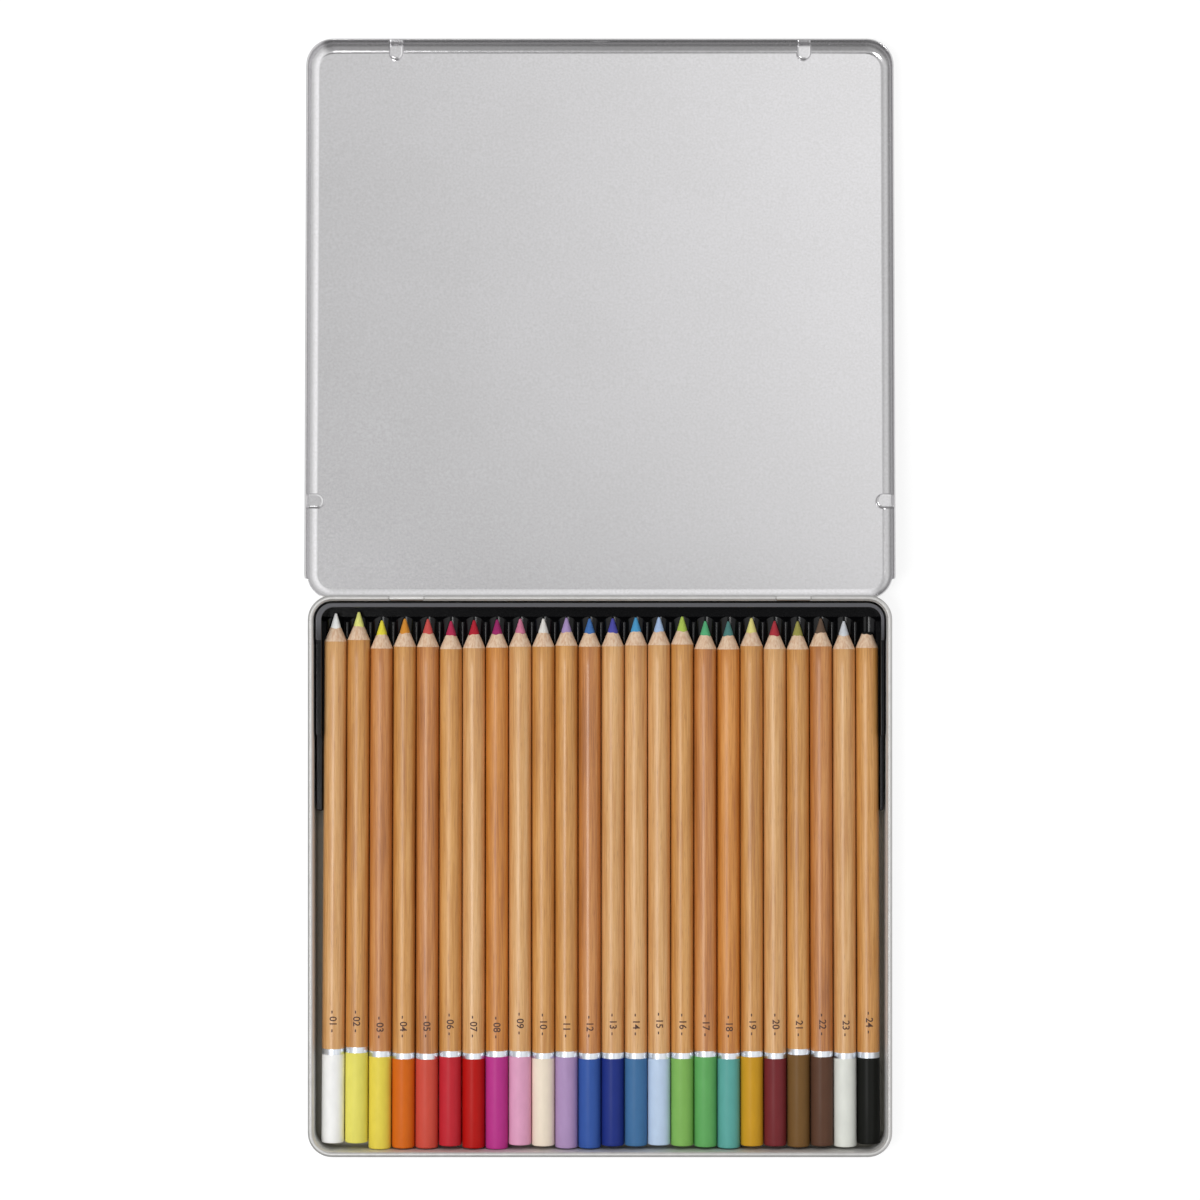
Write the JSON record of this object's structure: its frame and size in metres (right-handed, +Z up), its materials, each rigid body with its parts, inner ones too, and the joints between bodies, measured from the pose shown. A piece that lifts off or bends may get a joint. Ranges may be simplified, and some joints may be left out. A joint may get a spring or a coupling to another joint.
{
  "type": "box of pastel pencils",
  "caption": "Flat hinged tin, lid laid open, holding a row of round cedar pastel pencils with dipped coloured ends in a black formed tray.",
  "frame": {"origin": "centre of the tin's underside, on the table", "axes": "+Y towards the hinge and the opened lid, +Z up, +X to the right of the row of pencils"},
  "size_m": [0.1932, 0.3672, 0.0149],
  "materials": {
    "tinplate_base": "bare tinplate under a thin clear satin lacquer",
    "tinplate_lid": "bare tinplate under a thin clear satin lacquer, finely mottled",
    "steel_wire": "drawn wire, bright",
    "black_plastic": "vacuum-formed black sheet, glossy",
    "cedar": "clear satin varnish on the barrel, bare on the sharpened cone",
    "pastel_white": "matt pastel point, satin lacquer on the dipped end",
    "pastel_light_yellow": "matt pastel point, satin lacquer on the dipped end",
    "pastel_yellow": "matt pastel point, satin lacquer on the dipped end",
    "pastel_orange": "matt pastel point, satin lacquer on the dipped end",
    "pastel_coral": "matt pastel point, satin lacquer on the dipped end",
    "pastel_crimson": "matt pastel point, satin lacquer on the dipped end",
    "pastel_red": "matt pastel point, satin lacquer on the dipped end",
    "pastel_magenta": "matt pastel point, satin lacquer on the dipped end",
    "pastel_pink": "matt pastel point, satin lacquer on the dipped end",
    "pastel_ivory": "matt pastel point, satin lacquer on the dipped end",
    "pastel_lilac": "matt pastel point, satin lacquer on the dipped end",
    "pastel_blue": "matt pastel point, satin lacquer on the dipped end",
    "pastel_ultramarine": "matt pastel point, satin lacquer on the dipped end",
    "pastel_steel_blue": "matt pastel point, satin lacquer on the dipped end",
    "pastel_light_blue": "matt pastel point, satin lacquer on the dipped end",
    "pastel_leaf_green": "matt pastel point, satin lacquer on the dipped end",
    "pastel_green": "matt pastel point, satin lacquer on the dipped end",
    "pastel_teal": "matt pastel point, satin lacquer on the dipped end",
    "pastel_ochre": "matt pastel point, satin lacquer on the dipped end",
    "pastel_burgundy": "matt pastel point, satin lacquer on the dipped end",
    "pastel_olive": "matt pastel point, satin lacquer on the dipped end",
    "pastel_dark_brown": "matt pastel point, satin lacquer on the dipped end",
    "pastel_light_grey": "matt pastel point, satin lacquer on the dipped end",
    "pastel_black": "matt pastel point, satin lacquer on the dipped end"
  },
  "bodies": {
    "base": {"tin_base": "tinplate_base", "hinge_pin_left": "steel_wire", "hinge_pin_right": "steel_wire", "tray": "black_plastic"},
    "lid": {"tin_lid": "tinplate_lid"},
    "pencil_01_white": {"pencil_01_white_barrel": "cedar", "pencil_01_white_core": "pastel_white"},
    "pencil_02_light_yellow": {"pencil_02_light_yellow_barrel": "cedar", "pencil_02_light_yellow_core": "pastel_light_yellow"},
    "pencil_03_yellow": {"pencil_03_yellow_barrel": "cedar", "pencil_03_yellow_core": "pastel_yellow"},
    "pencil_04_orange": {"pencil_04_orange_barrel": "cedar", "pencil_04_orange_core": "pastel_orange"},
    "pencil_05_coral": {"pencil_05_coral_barrel": "cedar", "pencil_05_coral_core": "pastel_coral"},
    "pencil_06_crimson": {"pencil_06_crimson_barrel": "cedar", "pencil_06_crimson_core": "pastel_crimson"},
    "pencil_07_red": {"pencil_07_red_barrel": "cedar", "pencil_07_red_core": "pastel_red"},
    "pencil_08_magenta": {"pencil_08_magenta_barrel": "cedar", "pencil_08_magenta_core": "pastel_magenta"},
    "pencil_09_pink": {"pencil_09_pink_barrel": "cedar", "pencil_09_pink_core": "pastel_pink"},
    "pencil_10_ivory": {"pencil_10_ivory_barrel": "cedar", "pencil_10_ivory_core": "pastel_ivory"},
    "pencil_11_lilac": {"pencil_11_lilac_barrel": "cedar", "pencil_11_lilac_core": "pastel_lilac"},
    "pencil_12_blue": {"pencil_12_blue_barrel": "cedar", "pencil_12_blue_core": "pastel_blue"},
    "pencil_13_ultramarine": {"pencil_13_ultramarine_barrel": "cedar", "pencil_13_ultramarine_core": "pastel_ultramarine"},
    "pencil_14_steel_blue": {"pencil_14_steel_blue_barrel": "cedar", "pencil_14_steel_blue_core": "pastel_steel_blue"},
    "pencil_15_light_blue": {"pencil_15_light_blue_barrel": "cedar", "pencil_15_light_blue_core": "pastel_light_blue"},
    "pencil_16_leaf_green": {"pencil_16_leaf_green_barrel": "cedar", "pencil_16_leaf_green_core": "pastel_leaf_green"},
    "pencil_17_green": {"pencil_17_green_barrel": "cedar", "pencil_17_green_core": "pastel_green"},
    "pencil_18_teal": {"pencil_18_teal_barrel": "cedar", "pencil_18_teal_core": "pastel_teal"},
    "pencil_19_ochre": {"pencil_19_ochre_barrel": "cedar", "pencil_19_ochre_core": "pastel_ochre"},
    "pencil_20_burgundy": {"pencil_20_burgundy_barrel": "cedar", "pencil_20_burgundy_core": "pastel_burgundy"},
    "pencil_21_olive": {"pencil_21_olive_barrel": "cedar", "pencil_21_olive_core": "pastel_olive"},
    "pencil_22_dark_brown": {"pencil_22_dark_brown_barrel": "cedar", "pencil_22_dark_brown_core": "pastel_dark_brown"},
    "pencil_23_light_grey": {"pencil_23_light_grey_barrel": "cedar", "pencil_23_light_grey_core": "pastel_light_grey"},
    "pencil_24_black": {"pencil_24_black_barrel": "cedar", "pencil_24_black_core": "pastel_black"}
  },
  "joints": [
    {"name": "lid_hinge", "type": "hinge", "parent": "base", "child": "lid", "pos_m": [0, 0.09115, 0.0111], "axis": [-1, 0, 0], "range_deg": [-182.6, 0]},
    {"name": "pencil_01_white_lift", "type": "slide", "parent": "base", "child": "pencil_01_white", "axis": [0, 0, 1], "range_m": [0, 0.02]},
    {"name": "pencil_02_light_yellow_lift", "type": "slide", "parent": "base", "child": "pencil_02_light_yellow", "axis": [0, 0, 1], "range_m": [0, 0.02]},
    {"name": "pencil_03_yellow_lift", "type": "slide", "parent": "base", "child": "pencil_03_yellow", "axis": [0, 0, 1], "range_m": [0, 0.02]},
    {"name": "pencil_04_orange_lift", "type": "slide", "parent": "base", "child": "pencil_04_orange", "axis": [0, 0, 1], "range_m": [0, 0.02]},
    {"name": "pencil_05_coral_lift", "type": "slide", "parent": "base", "child": "pencil_05_coral", "axis": [0, 0, 1], "range_m": [0, 0.02]},
    {"name": "pencil_06_crimson_lift", "type": "slide", "parent": "base", "child": "pencil_06_crimson", "axis": [0, 0, 1], "range_m": [0, 0.02]},
    {"name": "pencil_07_red_lift", "type": "slide", "parent": "base", "child": "pencil_07_red", "axis": [0, 0, 1], "range_m": [0, 0.02]},
    {"name": "pencil_08_magenta_lift", "type": "slide", "parent": "base", "child": "pencil_08_magenta", "axis": [0, 0, 1], "range_m": [0, 0.02]},
    {"name": "pencil_09_pink_lift", "type": "slide", "parent": "base", "child": "pencil_09_pink", "axis": [0, 0, 1], "range_m": [0, 0.02]},
    {"name": "pencil_10_ivory_lift", "type": "slide", "parent": "base", "child": "pencil_10_ivory", "axis": [0, 0, 1], "range_m": [0, 0.02]},
    {"name": "pencil_11_lilac_lift", "type": "slide", "parent": "base", "child": "pencil_11_lilac", "axis": [0, 0, 1], "range_m": [0, 0.02]},
    {"name": "pencil_12_blue_lift", "type": "slide", "parent": "base", "child": "pencil_12_blue", "axis": [0, 0, 1], "range_m": [0, 0.02]},
    {"name": "pencil_13_ultramarine_lift", "type": "slide", "parent": "base", "child": "pencil_13_ultramarine", "axis": [0, 0, 1], "range_m": [0, 0.02]},
    {"name": "pencil_14_steel_blue_lift", "type": "slide", "parent": "base", "child": "pencil_14_steel_blue", "axis": [0, 0, 1], "range_m": [0, 0.02]},
    {"name": "pencil_15_light_blue_lift", "type": "slide", "parent": "base", "child": "pencil_15_light_blue", "axis": [0, 0, 1], "range_m": [0, 0.02]},
    {"name": "pencil_16_leaf_green_lift", "type": "slide", "parent": "base", "child": "pencil_16_leaf_green", "axis": [0, 0, 1], "range_m": [0, 0.02]},
    {"name": "pencil_17_green_lift", "type": "slide", "parent": "base", "child": "pencil_17_green", "axis": [0, 0, 1], "range_m": [0, 0.02]},
    {"name": "pencil_18_teal_lift", "type": "slide", "parent": "base", "child": "pencil_18_teal", "axis": [0, 0, 1], "range_m": [0, 0.02]},
    {"name": "pencil_19_ochre_lift", "type": "slide", "parent": "base", "child": "pencil_19_ochre", "axis": [0, 0, 1], "range_m": [0, 0.02]},
    {"name": "pencil_20_burgundy_lift", "type": "slide", "parent": "base", "child": "pencil_20_burgundy", "axis": [0, 0, 1], "range_m": [0, 0.02]},
    {"name": "pencil_21_olive_lift", "type": "slide", "parent": "base", "child": "pencil_21_olive", "axis": [0, 0, 1], "range_m": [0, 0.02]},
    {"name": "pencil_22_dark_brown_lift", "type": "slide", "parent": "base", "child": "pencil_22_dark_brown", "axis": [0, 0, 1], "range_m": [0, 0.02]},
    {"name": "pencil_23_light_grey_lift", "type": "slide", "parent": "base", "child": "pencil_23_light_grey", "axis": [0, 0, 1], "range_m": [0, 0.02]},
    {"name": "pencil_24_black_lift", "type": "slide", "parent": "base", "child": "pencil_24_black", "axis": [0, 0, 1], "range_m": [0, 0.02]}
  ]
}
